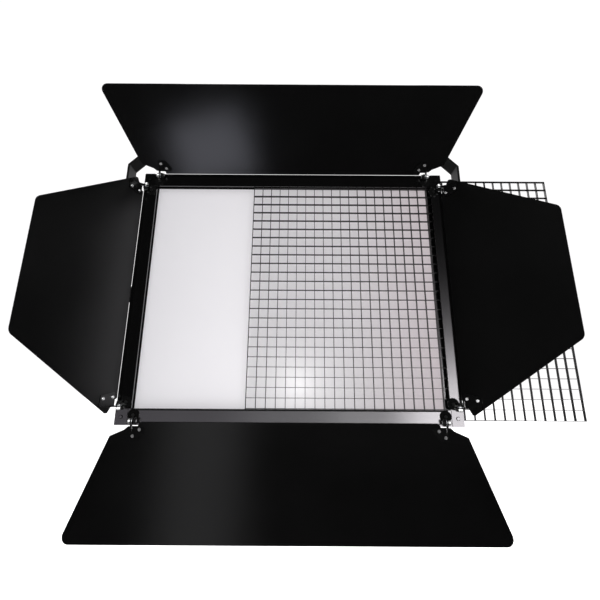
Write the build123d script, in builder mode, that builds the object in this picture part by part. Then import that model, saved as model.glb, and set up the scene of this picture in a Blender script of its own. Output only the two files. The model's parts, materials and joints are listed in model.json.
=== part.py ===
"""LED panel light with a yoke, four barn-door leaves and a slide-in egg-crate louvre.

Millimetres, +Z up, the lit face looks along -Y. The origin is on the spigot's axis, where it
stands on the yoke's cross-bar. The head hangs below and tilts about an axis along X.
"""
from build123d import *
from math import cos, radians, sin, sqrt
import os

os.makedirs("parts", exist_ok=True)

# ---------------------------------------------------------------- driving dimensions
CELL = 15.0  # louvre pitch
COLUMNS, ROWS = 34, 26  # louvre cells
BLADE = 0.8  # louvre blade thickness
BLADE_DEPTH = 6.0
LOUVRE_OUT = 188.0  # how far the louvre is pulled out at rest

FRAME_X, FRAME_Z = 258.5, 203.5  # front frame, half width and half height
RAIL = 22.5  # width of a rail's face
FRONT_Y = -50.0  # front face of the frame
LOUVRE_Y = -42.0  # mid-plane of the louvre
RAIL_BACK_Y = -29.0
SHELL_BACK_Y = 30.0
SHELL_GAP = 5.0  # how far the housing stands in from the frame's edge
SHEET = 2.0  # housing and cover sheet

YOKE_HEIGHT = 297.0  # tilt axis to the top of the cross-bar
YOKE_X = 306.0  # outside of the yoke's arms
YOKE_CORNER = 58.0  # leg of the 45 degree corner
YOKE_WIDTH, YOKE_BAR = 35.0, 4.0

HINGE_X, HINGE_Z = 252.5, 197.5  # hinge axes, from the head's centre
HINGE_Y = FRONT_Y - 8.0
LEAF = 1.2  # leaf sheet
LEAF_BEHIND = 4.0  # leaf mid-plane behind its hinge axis
EAR = 2.0  # hinge ear thickness
EAR_GAP = 0.8  # between the two ears of a hinge
EAR_R = 4.5
PIVOT_R = 2.0
RUNNING = 0.05  # radial clearance of a turning fit
SCREW_R, SCREW_HEAD_R = 1.5, 2.8  # the pan-head screws of the casing
SCREW_HEAD, SCREW_LENGTH, SCREW_DRAFT = 1.6, 5.0, 14.0

OPEN_TOP, OPEN_BOTTOM = 46.0, 3.0  # leaf angles forward of the frame's plane
OPEN_LEFT, OPEN_RIGHT = 65.0, 52.0

HEAD_Z = -YOKE_HEIGHT
OPEN_X, OPEN_Z = FRAME_X - RAIL, FRAME_Z - RAIL  # half window


# ---------------------------------------------------------------- planes and small helpers
def head_plane(y):
    """Across the head at depth y: local x is right, local y is up, and it faces the front."""
    return Plane(origin=(0, y, HEAD_Z), x_dir=(1, 0, 0), z_dir=(0, -1, 0))


def rear_plane(y):
    """The same seen from behind: local x is left, and it faces the back."""
    return Plane(origin=(0, y, HEAD_Z), x_dir=(-1, 0, 0), z_dir=(0, 1, 0))


def side_plane(x, z=HEAD_Z):
    """Local x is world Y, local y is world Z, and it faces +X."""
    return Plane(origin=(x, 0, z), x_dir=(0, 1, 0), z_dir=(1, 0, 0))


def hinge_plane(outward, distance, angle):
    """On a leaf's hinge axis: x runs along the axis, y out along the leaf, z off its front."""
    out, front = Vector(*outward), Vector(0, -1, 0)
    along_leaf = out * cos(radians(angle)) + front * sin(radians(angle))
    normal = front * cos(radians(angle)) - out * sin(radians(angle))
    origin = Vector(0, HINGE_Y, HEAD_Z) + out * distance
    return Plane(origin=origin, x_dir=along_leaf.cross(normal), z_dir=normal)


def across(plane, along):
    """A plane square to a hinge axis, at a distance along it."""
    return Plane(origin=plane.origin + plane.x_dir * along, x_dir=plane.y_dir, z_dir=plane.x_dir)


def slab(u0, u1, v0, v1, mode=Mode.ADD):
    """A rectangle in the current sketch, given by its edges."""
    with Locations(((u0 + u1) / 2, (v0 + v1) / 2)):
        Rectangle(abs(u1 - u0), abs(v1 - v0), mode=mode)


# ---------------------------------------------------------------- yoke
ARM_END = 20.0  # arm beyond the tilt axis
ARM_END_R = 16.5  # its rounded corners
ARM_INNER = YOKE_X - YOKE_BAR
BEND_R = 3.0  # of the four bends, inside and outside
TILT_HOLE_R = 5.25
SPIGOT_R, SPIGOT_LENGTH, SPIGOT_CHAMFER = 14.0, 74.0, 4.0
BOLT_R = 5.0
SLANT = YOKE_X - YOKE_CORNER  # x + z on the outer face of the slanted corner
SLANT_IN = SLANT - YOKE_BAR * sqrt(2)

with BuildPart() as yoke_bar:
    with BuildSketch(Plane.XZ.offset(-YOKE_WIDTH / 2)):
        foot = HEAD_Z - ARM_END
        with BuildLine():
            Polyline(
                (YOKE_X, foot), (YOKE_X, SLANT - YOKE_X), (SLANT, 0), (-SLANT, 0),
                (-YOKE_X, SLANT - YOKE_X), (-YOKE_X, foot), (-ARM_INNER, foot),
                (-ARM_INNER, SLANT_IN - ARM_INNER), (-SLANT_IN - YOKE_BAR, -YOKE_BAR),
                (SLANT_IN + YOKE_BAR, -YOKE_BAR), (ARM_INNER, SLANT_IN - ARM_INNER),
                (ARM_INNER, foot), close=True,
            )
        make_face()
    extrude(amount=YOKE_WIDTH)
    foot_edges = yoke_bar.edges().filter_by(Axis.X).group_by(Axis.Z)[0]
    fillet(foot_edges, radius=ARM_END_R)
    bends = yoke_bar.edges().filter_by(Axis.Y).group_by(Axis.Z)[-4:]
    fillet([edge for level in bends for edge in level], radius=BEND_R)
    with BuildSketch(side_plane(-YOKE_X)):
        Circle(TILT_HOLE_R)
    extrude(amount=2 * YOKE_X, mode=Mode.SUBTRACT)
    with BuildSketch(Plane.XY):
        Circle(BOLT_R + RUNNING)
    extrude(amount=-YOKE_BAR, mode=Mode.SUBTRACT)
yoke_bar.part.label = "yoke_bar"
export_step(yoke_bar.part, "parts/yoke_bar.step")

GROOVE_LOW, GROOVE_HIGH, GROOVE_R = 44.0, 56.0, 11.0
GROOVE_SLOPE = SPIGOT_R - GROOVE_R
BORE_DEPTH, BORE_CLEAR = 30.0, 4.0  # and the room past the bolt's end
with BuildPart() as spigot:
    with BuildSketch(Plane.XZ):
        with BuildLine():
            Polyline(
                (0, 0), (SPIGOT_R, 0), (SPIGOT_R, GROOVE_LOW),
                (GROOVE_R, GROOVE_LOW + GROOVE_SLOPE), (GROOVE_R, GROOVE_HIGH - GROOVE_SLOPE),
                (SPIGOT_R, GROOVE_HIGH), (SPIGOT_R, SPIGOT_LENGTH - SPIGOT_CHAMFER),
                (SPIGOT_R - SPIGOT_CHAMFER, SPIGOT_LENGTH), (0, SPIGOT_LENGTH), close=True,
            )
        make_face()
    revolve(axis=Axis.Z)
    with BuildSketch(Plane.XY):
        Circle(BOLT_R + RUNNING)
    extrude(amount=BORE_DEPTH, mode=Mode.SUBTRACT)
spigot.part.label = "spigot"
export_step(spigot.part, "parts/spigot.step")

WASHER_R, WASHER = 12.0, 2.0
with BuildPart() as spigot_washer:
    with BuildSketch(Plane.XY.offset(-YOKE_BAR)):
        Circle(WASHER_R)
        Circle(BOLT_R + RUNNING, mode=Mode.SUBTRACT)
    extrude(amount=-WASHER)
spigot_washer.part.label = "spigot_washer"
export_step(spigot_washer.part, "parts/spigot_washer.step")

HEX_R, HEX_HEIGHT, HEX_CHAMFER = 9.4, 6.4, 0.6
with BuildPart() as spigot_bolt:
    with BuildSketch(Plane.XY.offset(-YOKE_BAR - WASHER)):
        RegularPolygon(HEX_R, 6)
    extrude(amount=-HEX_HEIGHT)
    with BuildSketch(Plane.XY.offset(-YOKE_BAR - WASHER)):
        Circle(BOLT_R)
    extrude(amount=YOKE_BAR + WASHER + BORE_DEPTH - BORE_CLEAR)
spigot_bolt.part.label = "spigot_bolt"
export_step(spigot_bolt.part, "parts/spigot_bolt.step")

# ---------------------------------------------------------------- front frame
LIP_BACK_Y = FRONT_Y + 3.8  # back of the front lip
CHANNEL_BACK_Y = LOUVRE_Y + 4.2
SEAT_Y = CHANNEL_BACK_Y + 2.0  # the diffuser's seat
CHANNEL_Z = 196.0  # bottom of the louvre channel
POCKET_X, POCKET_Z = 251.0, 193.0  # half size of the diffuser's pocket
END_WALL = 2.5  # left rail's outer wall beside the louvre
CAP = 1.5  # corner cap thickness, and its corner radius
CAP_WIDTH = 18.0


def rail_section(side):
    """Section of the top (+1) or bottom (-1) rail, in world Y and head Z."""
    inner, outer = side * OPEN_Z, side * FRAME_Z
    slab(FRONT_Y, RAIL_BACK_Y, inner, outer)
    slab(LIP_BACK_Y, CHANNEL_BACK_Y, inner, side * CHANNEL_Z, mode=Mode.SUBTRACT)
    slab(SEAT_Y, RAIL_BACK_Y, inner, side * POCKET_Z, mode=Mode.SUBTRACT)


CORNERS = [(x, z) for x in (-1, 1) for z in (-1, 1)]
CORNER_X, CORNER_Z = FRAME_X - CAP_WIDTH / 2, FRAME_Z - RAIL / 2
CORNER_HOLE = SCREW_LENGTH - CAP + 0.1

with BuildPart() as rail_top:
    with BuildSketch(side_plane(-FRAME_X + CAP)):
        rail_section(1)
    extrude(amount=2 * FRAME_X - CAP)
    with BuildSketch(head_plane(FRONT_Y)):
        with Locations((-CORNER_X, CORNER_Z), (CORNER_X, CORNER_Z)):
            Circle(SCREW_R + RUNNING)
    extrude(amount=-CORNER_HOLE, mode=Mode.SUBTRACT)
rail_top.part.label = "rail_top"
export_step(rail_top.part, "parts/rail_top.step")

with BuildPart() as rail_bottom:
    with BuildSketch(side_plane(-FRAME_X + CAP)):
        rail_section(-1)
    extrude(amount=2 * FRAME_X - CAP)
    with BuildSketch(head_plane(FRONT_Y)):
        with Locations((-CORNER_X, -CORNER_Z), (CORNER_X, -CORNER_Z)):
            Circle(SCREW_R + RUNNING)
    extrude(amount=-CORNER_HOLE, mode=Mode.SUBTRACT)
rail_bottom.part.label = "rail_bottom"
export_step(rail_bottom.part, "parts/rail_bottom.step")

with BuildPart() as rail_left:
    with BuildSketch(Plane.XY.offset(HEAD_Z - OPEN_Z)):
        slab(-FRAME_X, -OPEN_X, FRONT_Y, RAIL_BACK_Y)
        slab(-FRAME_X + END_WALL, -OPEN_X, LIP_BACK_Y, CHANNEL_BACK_Y, mode=Mode.SUBTRACT)
        slab(-POCKET_X, -OPEN_X, SEAT_Y, RAIL_BACK_Y, mode=Mode.SUBTRACT)
    extrude(amount=2 * OPEN_Z)
rail_left.part.label = "rail_left"
export_step(rail_left.part, "parts/rail_left.step")

with BuildPart() as rail_right_front:
    with BuildSketch(Plane.XY.offset(HEAD_Z - OPEN_Z)):
        slab(FRAME_X - CAP_WIDTH, FRAME_X, FRONT_Y, LIP_BACK_Y)  # the louvre's slot shows beside it
    extrude(amount=2 * OPEN_Z)
rail_right_front.part.label = "rail_right_front"
export_step(rail_right_front.part, "parts/rail_right_front.step")

with BuildPart() as rail_right_rear:
    with BuildSketch(Plane.XY.offset(HEAD_Z - OPEN_Z)):
        slab(OPEN_X, FRAME_X, CHANNEL_BACK_Y, RAIL_BACK_Y)
        slab(OPEN_X, POCKET_X, SEAT_Y, RAIL_BACK_Y, mode=Mode.SUBTRACT)
    extrude(amount=2 * OPEN_Z)
rail_right_rear.part.label = "rail_right_rear"
export_step(rail_right_rear.part, "parts/rail_right_rear.step")

with BuildPart() as corner_caps:
    with BuildSketch(head_plane(FRONT_Y)):
        for x, z in CORNERS:
            with Locations((x * CORNER_X, z * CORNER_Z)):
                RectangleRounded(CAP_WIDTH, RAIL, CAP)
                Circle(SCREW_R + RUNNING, mode=Mode.SUBTRACT)
    extrude(amount=CAP)
    with BuildSketch(side_plane(-FRAME_X)):
        for z in (-1, 1):
            slab(FRONT_Y - CAP / 2, RAIL_BACK_Y, z * OPEN_Z, z * FRAME_Z)  # joins the face plate
    extrude(amount=CAP)
corner_caps.part.label = "corner_caps"
export_step(corner_caps.part, "parts/corner_caps.step")

# ---------------------------------------------------------------- louvre
LOUVRE_X = LOUVRE_OUT  # centre of the louvre at rest
LOUVRE_BACK_Y = LOUVRE_Y + BLADE_DEPTH / 2
LAP_PLAY = 0.05  # on each side of a blade in its notch
HALF_LAP = BLADE_DEPTH / 2 + LAP_PLAY
NOTCH = BLADE + 2 * LAP_PLAY
HALF_LONG = (COLUMNS * CELL + BLADE) / 2
HALF_TALL = (ROWS * CELL + BLADE) / 2

with BuildPart() as louvre_blades_vertical:
    with BuildSketch(side_plane(0)) as tall_blade:
        slab(LOUVRE_BACK_Y - BLADE_DEPTH, LOUVRE_BACK_Y, -HALF_TALL, HALF_TALL)
        with Locations((LOUVRE_BACK_Y - HALF_LAP / 2, 0)):
            with GridLocations(1, CELL, 1, ROWS + 1):
                Rectangle(HALF_LAP, NOTCH, mode=Mode.SUBTRACT)
    first = LOUVRE_X - COLUMNS * CELL / 2 - BLADE / 2
    faces = [
        tall_blade.sketch.face().moved(Location((first + column * CELL, 0, 0)))
        for column in range(COLUMNS + 1)
    ]
    extrude(to_extrude=faces, amount=BLADE, dir=(1, 0, 0))
louvre_blades_vertical.part.label = "louvre_blades_vertical"
export_step(louvre_blades_vertical.part, "parts/louvre_blades_vertical.step")

with BuildPart() as louvre_blades_horizontal:
    with BuildSketch(Plane.XY.offset(HEAD_Z)) as long_blade:
        slab(
            LOUVRE_X - HALF_LONG, LOUVRE_X + HALF_LONG,
            LOUVRE_BACK_Y - BLADE_DEPTH, LOUVRE_BACK_Y,
        )
        with Locations((LOUVRE_X, LOUVRE_BACK_Y - BLADE_DEPTH + HALF_LAP / 2)):
            with GridLocations(CELL, 1, COLUMNS + 1, 1):
                Rectangle(NOTCH, HALF_LAP, mode=Mode.SUBTRACT)
    lowest = -ROWS * CELL / 2 - BLADE / 2
    faces = [
        long_blade.sketch.face().moved(Location((0, 0, lowest + row * CELL)))
        for row in range(ROWS + 1)
    ]
    extrude(to_extrude=faces, amount=BLADE, dir=(0, 0, 1))
louvre_blades_horizontal.part.label = "louvre_blades_horizontal"
export_step(louvre_blades_horizontal.part, "parts/louvre_blades_horizontal.step")

# ---------------------------------------------------------------- light engine
DIFFUSER = 3.0
DIFFUSER_BACK_Y = SEAT_Y + DIFFUSER
REFLECTOR = 1.2
FLANGE_BACK_Y = DIFFUSER_BACK_Y + REFLECTOR
BOARD_Y = -6.8  # front of the LED boards
SHEET_X, SHEET_Z = POCKET_X - 0.5, POCKET_Z - 0.5  # sheets that lie in the pocket, half size
MOUTH_X, MOUTH_Z = 236.0, 178.0  # reflector, half size at the front
BASE_X, BASE_Z = 222.0, 164.0  # and at its floor
LED_PITCH, LED_COLUMNS, LED_ROWS = 36.0, 12, 8
LED, LED_HEIGHT, LED_HOLE = 4.0, 1.8, 5.0
BOARD, BOARD_GAP = 1.6, 2.0

with BuildPart() as diffuser:
    with BuildSketch(head_plane(DIFFUSER_BACK_Y)):
        Rectangle(2 * SHEET_X, 2 * SHEET_Z)
    extrude(amount=DIFFUSER)
diffuser.part.label = "diffuser"
export_step(diffuser.part, "parts/diffuser.step")

with BuildPart() as reflector_box:
    with BuildSketch(head_plane(FLANGE_BACK_Y)):
        Rectangle(2 * SHEET_X, 2 * SHEET_Z)
    extrude(amount=REFLECTOR)
    with BuildSketch(head_plane(FLANGE_BACK_Y)):
        Rectangle(2 * MOUTH_X, 2 * MOUTH_Z)
    with BuildSketch(head_plane(BOARD_Y)):
        Rectangle(2 * BASE_X, 2 * BASE_Z)
    loft()
    with BuildSketch(head_plane(DIFFUSER_BACK_Y)):
        Rectangle(2 * (MOUTH_X - REFLECTOR), 2 * (MOUTH_Z - REFLECTOR))
    with BuildSketch(head_plane(BOARD_Y - REFLECTOR)):
        Rectangle(2 * (BASE_X - REFLECTOR), 2 * (BASE_Z - REFLECTOR))
    loft(mode=Mode.SUBTRACT)
    with BuildSketch(head_plane(BOARD_Y)):
        with GridLocations(LED_PITCH, LED_PITCH, LED_COLUMNS, LED_ROWS):
            Rectangle(LED_HOLE, LED_HOLE)
    extrude(amount=REFLECTOR, mode=Mode.SUBTRACT)
reflector_box.part.label = "reflector_box"
export_step(reflector_box.part, "parts/reflector_box.step")

with BuildPart() as led_boards:
    with BuildSketch(head_plane(BOARD_Y + BOARD)):
        with GridLocations(BASE_X, BASE_Z, 2, 2):
            Rectangle(BASE_X - BOARD_GAP, BASE_Z - BOARD_GAP)
    extrude(amount=BOARD)
led_boards.part.label = "led_boards"
export_step(led_boards.part, "parts/led_boards.step")

with BuildPart() as led_chips:
    with BuildSketch(head_plane(BOARD_Y)):
        with GridLocations(LED_PITCH, LED_PITCH, LED_COLUMNS, LED_ROWS):
            Rectangle(LED, LED)
    extrude(amount=LED_HEIGHT)
led_chips.part.label = "led_chips"
export_step(led_chips.part, "parts/led_chips.step")

# ---------------------------------------------------------------- housing and heat sink
SHELL_X, SHELL_Z = FRAME_X - SHELL_GAP, FRAME_Z - SHELL_GAP
INSIDE_X, INSIDE_Z = SHELL_X - SHEET, SHELL_Z - SHEET
RETURN = 14.0  # flange that the rear cover screws to
COVER_Y = SHELL_BACK_Y + SHEET  # outside of the rear cover
SINK_Y = BOARD_Y + BOARD
SINK_BASE, SINK_CLEAR = 5.0, 0.5
FIN, FIN_PITCH, FINS = 2.4, 12.0, 37
FIN_TIP_Y = 44.0
FIN_LOW, FIN_HIGH = -58.0, 174.0
COVER_HOLES_X, COVER_HOLES_Z = 2 * SHELL_X - RETURN, 2 * SHELL_Z - RETURN
COVER_COLUMNS, COVER_ROWS = 5, 4
VENT, VENT_LENGTH, VENT_PITCH, VENTS = 4.0, 14.0, 14.0, 30
VENT_Y = 17.0
HUB_BOLT_CIRCLE, HUB_BOLTS, HUB_SCREW_R = 20.0, 4, 2.0
FIRST_HUB_BOLT = 45  # its angle


def cover_screw_points():
    """Screw positions around the rear cover, in head coordinates."""
    columns = [COVER_HOLES_X * (i / (COVER_COLUMNS - 1) - 0.5) for i in range(COVER_COLUMNS)]
    rows = [COVER_HOLES_Z * (i / (COVER_ROWS - 1) - 0.5) for i in range(COVER_ROWS)]
    level = [(x, z) for x in columns for z in (rows[0], rows[-1])]
    upright = [(x, z) for x in (columns[0], columns[-1]) for z in rows[1:-1]]
    return level + upright


with BuildPart() as housing_shell:
    with BuildSketch(head_plane(SHELL_BACK_Y)):
        Rectangle(2 * SHELL_X, 2 * SHELL_Z)
        Rectangle(2 * INSIDE_X, 2 * INSIDE_Z, mode=Mode.SUBTRACT)
    extrude(amount=SHELL_BACK_Y - RAIL_BACK_Y)
    with BuildSketch(head_plane(SHELL_BACK_Y)):
        Rectangle(2 * SHELL_X, 2 * SHELL_Z)
        Rectangle(2 * (SHELL_X - RETURN), 2 * (SHELL_Z - RETURN), mode=Mode.SUBTRACT)
        with Locations(*cover_screw_points()):
            Circle(SCREW_R + RUNNING, mode=Mode.SUBTRACT)
    extrude(amount=SHEET)
    with BuildSketch(Plane.XY.offset(HEAD_Z - SHELL_Z)):
        with Locations((0, VENT_Y)):
            with GridLocations(VENT_PITCH, 1, VENTS, 1):
                SlotOverall(VENT_LENGTH, VENT, rotation=90)
    extrude(amount=2 * SHELL_Z, mode=Mode.SUBTRACT)
    with BuildSketch(side_plane(-SHELL_X)):
        with PolarLocations(HUB_BOLT_CIRCLE, HUB_BOLTS, start_angle=FIRST_HUB_BOLT):
            Circle(HUB_SCREW_R + RUNNING)
    extrude(amount=2 * SHELL_X, mode=Mode.SUBTRACT)
housing_shell.part.label = "housing_shell"
export_step(housing_shell.part, "parts/housing_shell.step")

with BuildPart() as heat_sink:
    with BuildSketch(head_plane(SINK_Y + SINK_BASE)):
        Rectangle(2 * (INSIDE_X - SINK_CLEAR), 2 * (INSIDE_Z - SINK_CLEAR))
    extrude(amount=SINK_BASE)
    with BuildSketch(Plane.XY.offset(HEAD_Z + FIN_LOW)):
        with Locations((0, (SINK_Y + FIN_TIP_Y) / 2)):
            with GridLocations(FIN_PITCH, 1, FINS, 1):
                Rectangle(FIN, FIN_TIP_Y - SINK_Y)
    extrude(amount=FIN_HIGH - FIN_LOW)
heat_sink.part.label = "heat_sink"
export_step(heat_sink.part, "parts/heat_sink.step")

BOX_X, BOX_Z = 160.0, 56.0  # control housing, half size
BOX_CENTRE = -130.0  # below the head's centre
BOX_BACK_Y = 68.0
BOX_CORNER_R = 8.0
BOX_FLOOR = 12.0  # rim of the cover under the control housing
WINDOW_EDGE = 4.0
FIN_WINDOW_X = FINS * FIN_PITCH / 2 + WINDOW_EDGE

with BuildPart() as rear_cover:
    with BuildSketch(head_plane(COVER_Y)):
        RectangleRounded(2 * SHELL_X, 2 * SHELL_Z, SHEET)
        slab(
            -FIN_WINDOW_X, FIN_WINDOW_X, FIN_LOW - WINDOW_EDGE, FIN_HIGH + WINDOW_EDGE,
            mode=Mode.SUBTRACT,
        )
        with Locations((0, BOX_CENTRE)):
            RectangleRounded(
                2 * (BOX_X - BOX_FLOOR), 2 * (BOX_Z - BOX_FLOOR), BOX_CORNER_R, mode=Mode.SUBTRACT
            )
        with Locations(*cover_screw_points()):
            Circle(SCREW_R + RUNNING, mode=Mode.SUBTRACT)
    extrude(amount=SHEET)
rear_cover.part.label = "rear_cover"
export_step(rear_cover.part, "parts/rear_cover.step")

# ---------------------------------------------------------------- controls on the back
PANEL = 2.0
PANEL_Y = BOX_BACK_Y + PANEL  # outside of the control panel
POST_R, POST_X, POST_Z = 4.0, 152.0, 48.0
INLET_AT, INLET_X, INLET_Z = (122.0, -152.0), 14.0, 10.5
ROCKER_AT, ROCKER_X, ROCKER_Z = (122.0, -106.0), 6.5, 9.5
SOCKETS_AT, SOCKET_R = ((78.0, -152.0), (42.0, -152.0)), 11.0
DISPLAY_AT, DISPLAY_X, DISPLAY_Z, DISPLAY_R = (52.0, -104.0), 30.0, 16.0, 2.0
KNOBS_AT, KNOB_R = ((-30.0, -106.0), (-84.0, -106.0)), 13.0
BUTTONS_AT, BUTTON_R = ((0.0, -152.0), (-28.0, -152.0), (-56.0, -152.0), (-84.0, -152.0)), 5.0
SHAFT_R = 3.0
PLAY = 0.3  # around buttons, rocker and window
SIDE_SLOT, SIDE_SLOT_LENGTH, SIDE_SLOTS = 3.0, 22.0, 7  # vents in the control housing's ends
SIDE_SLOT_PITCH = 8.0

with BuildPart() as control_housing:
    with BuildSketch(head_plane(BOX_BACK_Y)):
        with Locations((0, BOX_CENTRE)):
            RectangleRounded(2 * BOX_X, 2 * BOX_Z, BOX_CORNER_R)
            RectangleRounded(
                2 * (BOX_X - SHEET), 2 * (BOX_Z - SHEET), BOX_CORNER_R - SHEET, mode=Mode.SUBTRACT
            )
            with GridLocations(2 * POST_X, 2 * POST_Z, 2, 2):
                Circle(POST_R)
                Circle(SCREW_R + RUNNING, mode=Mode.SUBTRACT)
    extrude(amount=BOX_BACK_Y - COVER_Y)
    with BuildSketch(side_plane(-BOX_X, HEAD_Z + BOX_CENTRE)):
        with Locations(((COVER_Y + BOX_BACK_Y) / 2, 0)):
            with GridLocations(1, SIDE_SLOT_PITCH, 1, SIDE_SLOTS):
                SlotOverall(SIDE_SLOT_LENGTH, SIDE_SLOT)
    extrude(amount=2 * BOX_X, mode=Mode.SUBTRACT)
control_housing.part.label = "control_housing"
export_step(control_housing.part, "parts/control_housing.step")

with BuildPart() as control_panel:
    with BuildSketch(head_plane(PANEL_Y)):
        with Locations((0, BOX_CENTRE)):
            RectangleRounded(2 * BOX_X, 2 * BOX_Z, BOX_CORNER_R)
            with GridLocations(2 * POST_X, 2 * POST_Z, 2, 2):
                Circle(SCREW_R + RUNNING, mode=Mode.SUBTRACT)
        with Locations(INLET_AT):
            Rectangle(2 * INLET_X, 2 * INLET_Z, mode=Mode.SUBTRACT)
        with Locations(ROCKER_AT):
            Rectangle(2 * ROCKER_X, 2 * ROCKER_Z, mode=Mode.SUBTRACT)
        with Locations(*SOCKETS_AT):
            Circle(SOCKET_R, mode=Mode.SUBTRACT)
        with Locations(DISPLAY_AT):
            RectangleRounded(2 * DISPLAY_X, 2 * DISPLAY_Z, DISPLAY_R, mode=Mode.SUBTRACT)
        with Locations(*KNOBS_AT):
            Circle(SHAFT_R + PLAY, mode=Mode.SUBTRACT)
        with Locations(*BUTTONS_AT):
            Circle(BUTTON_R + PLAY, mode=Mode.SUBTRACT)
    extrude(amount=PANEL)
control_panel.part.label = "control_panel"
export_step(control_panel.part, "parts/control_panel.step")

POSTS = [(x * POST_X, BOX_CENTRE + z * POST_Z) for x, z in CORNERS]
SCREW_SEATS = [
    (head_plane(FRONT_Y - CAP), [(x * CORNER_X, z * CORNER_Z) for x, z in CORNERS]),
    (rear_plane(COVER_Y), cover_screw_points()),
    (rear_plane(PANEL_Y), POSTS),
]
with BuildPart() as pan_head_screws:
    for seat, points in SCREW_SEATS:
        with BuildSketch(seat):
            with Locations(*points):
                Circle(SCREW_HEAD_R)
        extrude(amount=SCREW_HEAD, taper=SCREW_DRAFT)
        with BuildSketch(seat.offset(SCREW_HEAD)):
            with Locations(*points):
                RegularPolygon(SCREW_R, 6)
        extrude(amount=-SCREW_HEAD / 2, mode=Mode.SUBTRACT)
        with BuildSketch(seat):
            with Locations(*points):
                Circle(SCREW_R)
        extrude(amount=-SCREW_LENGTH)
pan_head_screws.part.label = "pan_head_screws"
export_step(pan_head_screws.part, "parts/pan_head_screws.step")

BOARD_BACK_Y = 59.6  # side of the control board that carries the switches
BOARD_X, BOARD_Z = (-110.0, 94.0), (-170.0, -82.0)  # its edges
SWITCH, SWITCH_HEIGHT = 6.0, 5.6
with BuildPart() as control_board:
    with BuildSketch(head_plane(BOARD_BACK_Y)):
        slab(*BOARD_X, *BOARD_Z)
    extrude(amount=BOARD)
    with BuildSketch(head_plane(BOARD_BACK_Y)):
        with Locations(*BUTTONS_AT):
            Rectangle(SWITCH, SWITCH)
        with Locations(*KNOBS_AT):
            Rectangle(2 * SWITCH, 2 * SWITCH)
            Circle(SHAFT_R + RUNNING, mode=Mode.SUBTRACT)
    extrude(amount=-SWITCH_HEIGHT)
control_board.part.label = "control_board"
export_step(control_board.part, "parts/control_board.step")

SUPPLY_X, SUPPLY_Z = (-140.0, 90.0), (-170.0, -90.0)  # edges of the power supply
SUPPLY_BACK_Y, SUPPLY_DEPTH, SUPPLY_R = 55.0, 21.0, 3.0
with BuildPart() as power_supply:
    with BuildSketch(head_plane(SUPPLY_BACK_Y)):
        slab(*SUPPLY_X, *SUPPLY_Z)
    extrude(amount=SUPPLY_DEPTH)
    fillet(power_supply.edges().filter_by(Axis.Y), radius=SUPPLY_R)
power_supply.part.label = "power_supply"
export_step(power_supply.part, "parts/power_supply.step")

WINDOW_PLAY, WINDOW_SUNK = 0.1, 0.4
with BuildPart() as display_window:
    with BuildSketch(head_plane(PANEL_Y - WINDOW_SUNK)):
        with Locations(DISPLAY_AT):
            RectangleRounded(
                2 * (DISPLAY_X - WINDOW_PLAY), 2 * (DISPLAY_Z - WINDOW_PLAY), DISPLAY_R - WINDOW_PLAY
            )
    extrude(amount=PANEL - WINDOW_SUNK)
display_window.part.label = "display_window"
export_step(display_window.part, "parts/display_window.step")

INLET_LIP, INLET_DEPTH, INLET_WALL, INLET_R = 2.5, 16.0, 2.5, 2.0
INLET_FLANGE_X, INLET_FLANGE_Z = INLET_X + 4.0, INLET_Z + 3.0
INLET_PINS, PIN_X, PIN_Z = ((-7, -2), (0, 2), (7, -2)), 1.6, 4.0
with BuildPart() as power_inlet:
    with BuildSketch(head_plane(PANEL_Y)):
        with Locations(INLET_AT):
            RectangleRounded(2 * INLET_FLANGE_X, 2 * INLET_FLANGE_Z, INLET_R)
    extrude(amount=-INLET_LIP)
    with BuildSketch(head_plane(PANEL_Y)):
        with Locations(INLET_AT):
            Rectangle(2 * INLET_X - PLAY, 2 * INLET_Z - PLAY)
    extrude(amount=INLET_DEPTH)
    with BuildSketch(head_plane(PANEL_Y + INLET_LIP)):
        with Locations(INLET_AT):
            RectangleRounded(2 * (INLET_X - INLET_WALL), 2 * (INLET_Z - INLET_WALL), INLET_R)
    extrude(amount=INLET_LIP + INLET_DEPTH - INLET_WALL, mode=Mode.SUBTRACT)
    with BuildSketch(head_plane(PANEL_Y - INLET_DEPTH + INLET_WALL)):
        with Locations(INLET_AT):
            with Locations(*INLET_PINS):
                Rectangle(PIN_X, PIN_Z)
    extrude(amount=-INLET_DEPTH + INLET_WALL)
power_inlet.part.label = "power_inlet"
export_step(power_inlet.part, "parts/power_inlet.step")

SOCKET_PLATE, SOCKET_DEPTH, SOCKET_WALL = 2.0, 10.0, 1.5
SOCKET_X, SOCKET_Z = 2 * SOCKET_R + 5.0, 2 * SOCKET_R + 8.0  # its plate
SOCKET_FLOOR = SOCKET_DEPTH - SOCKET_WALL
CONTACT_RING, CONTACTS, CONTACT_R = 5.5, 5, 1.1
FIRST_CONTACT = -90  # angle of the lowest one
with BuildPart() as data_sockets:
    with BuildSketch(head_plane(PANEL_Y)):
        with Locations(*SOCKETS_AT):
            RectangleRounded(SOCKET_X, SOCKET_Z, 2 * SOCKET_WALL)
    extrude(amount=-SOCKET_PLATE)
    with BuildSketch(head_plane(PANEL_Y)):
        with Locations(*SOCKETS_AT):
            Circle(SOCKET_R - RUNNING)
    extrude(amount=SOCKET_DEPTH)
    with BuildSketch(head_plane(PANEL_Y + SOCKET_PLATE)):
        with Locations(*SOCKETS_AT):
            Circle(SOCKET_R - SOCKET_WALL)
    extrude(amount=SOCKET_PLATE + SOCKET_FLOOR, mode=Mode.SUBTRACT)
    with BuildSketch(head_plane(PANEL_Y - SOCKET_FLOOR)):
        with Locations(*SOCKETS_AT):
            with PolarLocations(CONTACT_RING, CONTACTS, start_angle=FIRST_CONTACT):
                Circle(CONTACT_R)
    extrude(amount=-SOCKET_FLOOR)
data_sockets.part.label = "data_sockets"
export_step(data_sockets.part, "parts/data_sockets.step")

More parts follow.
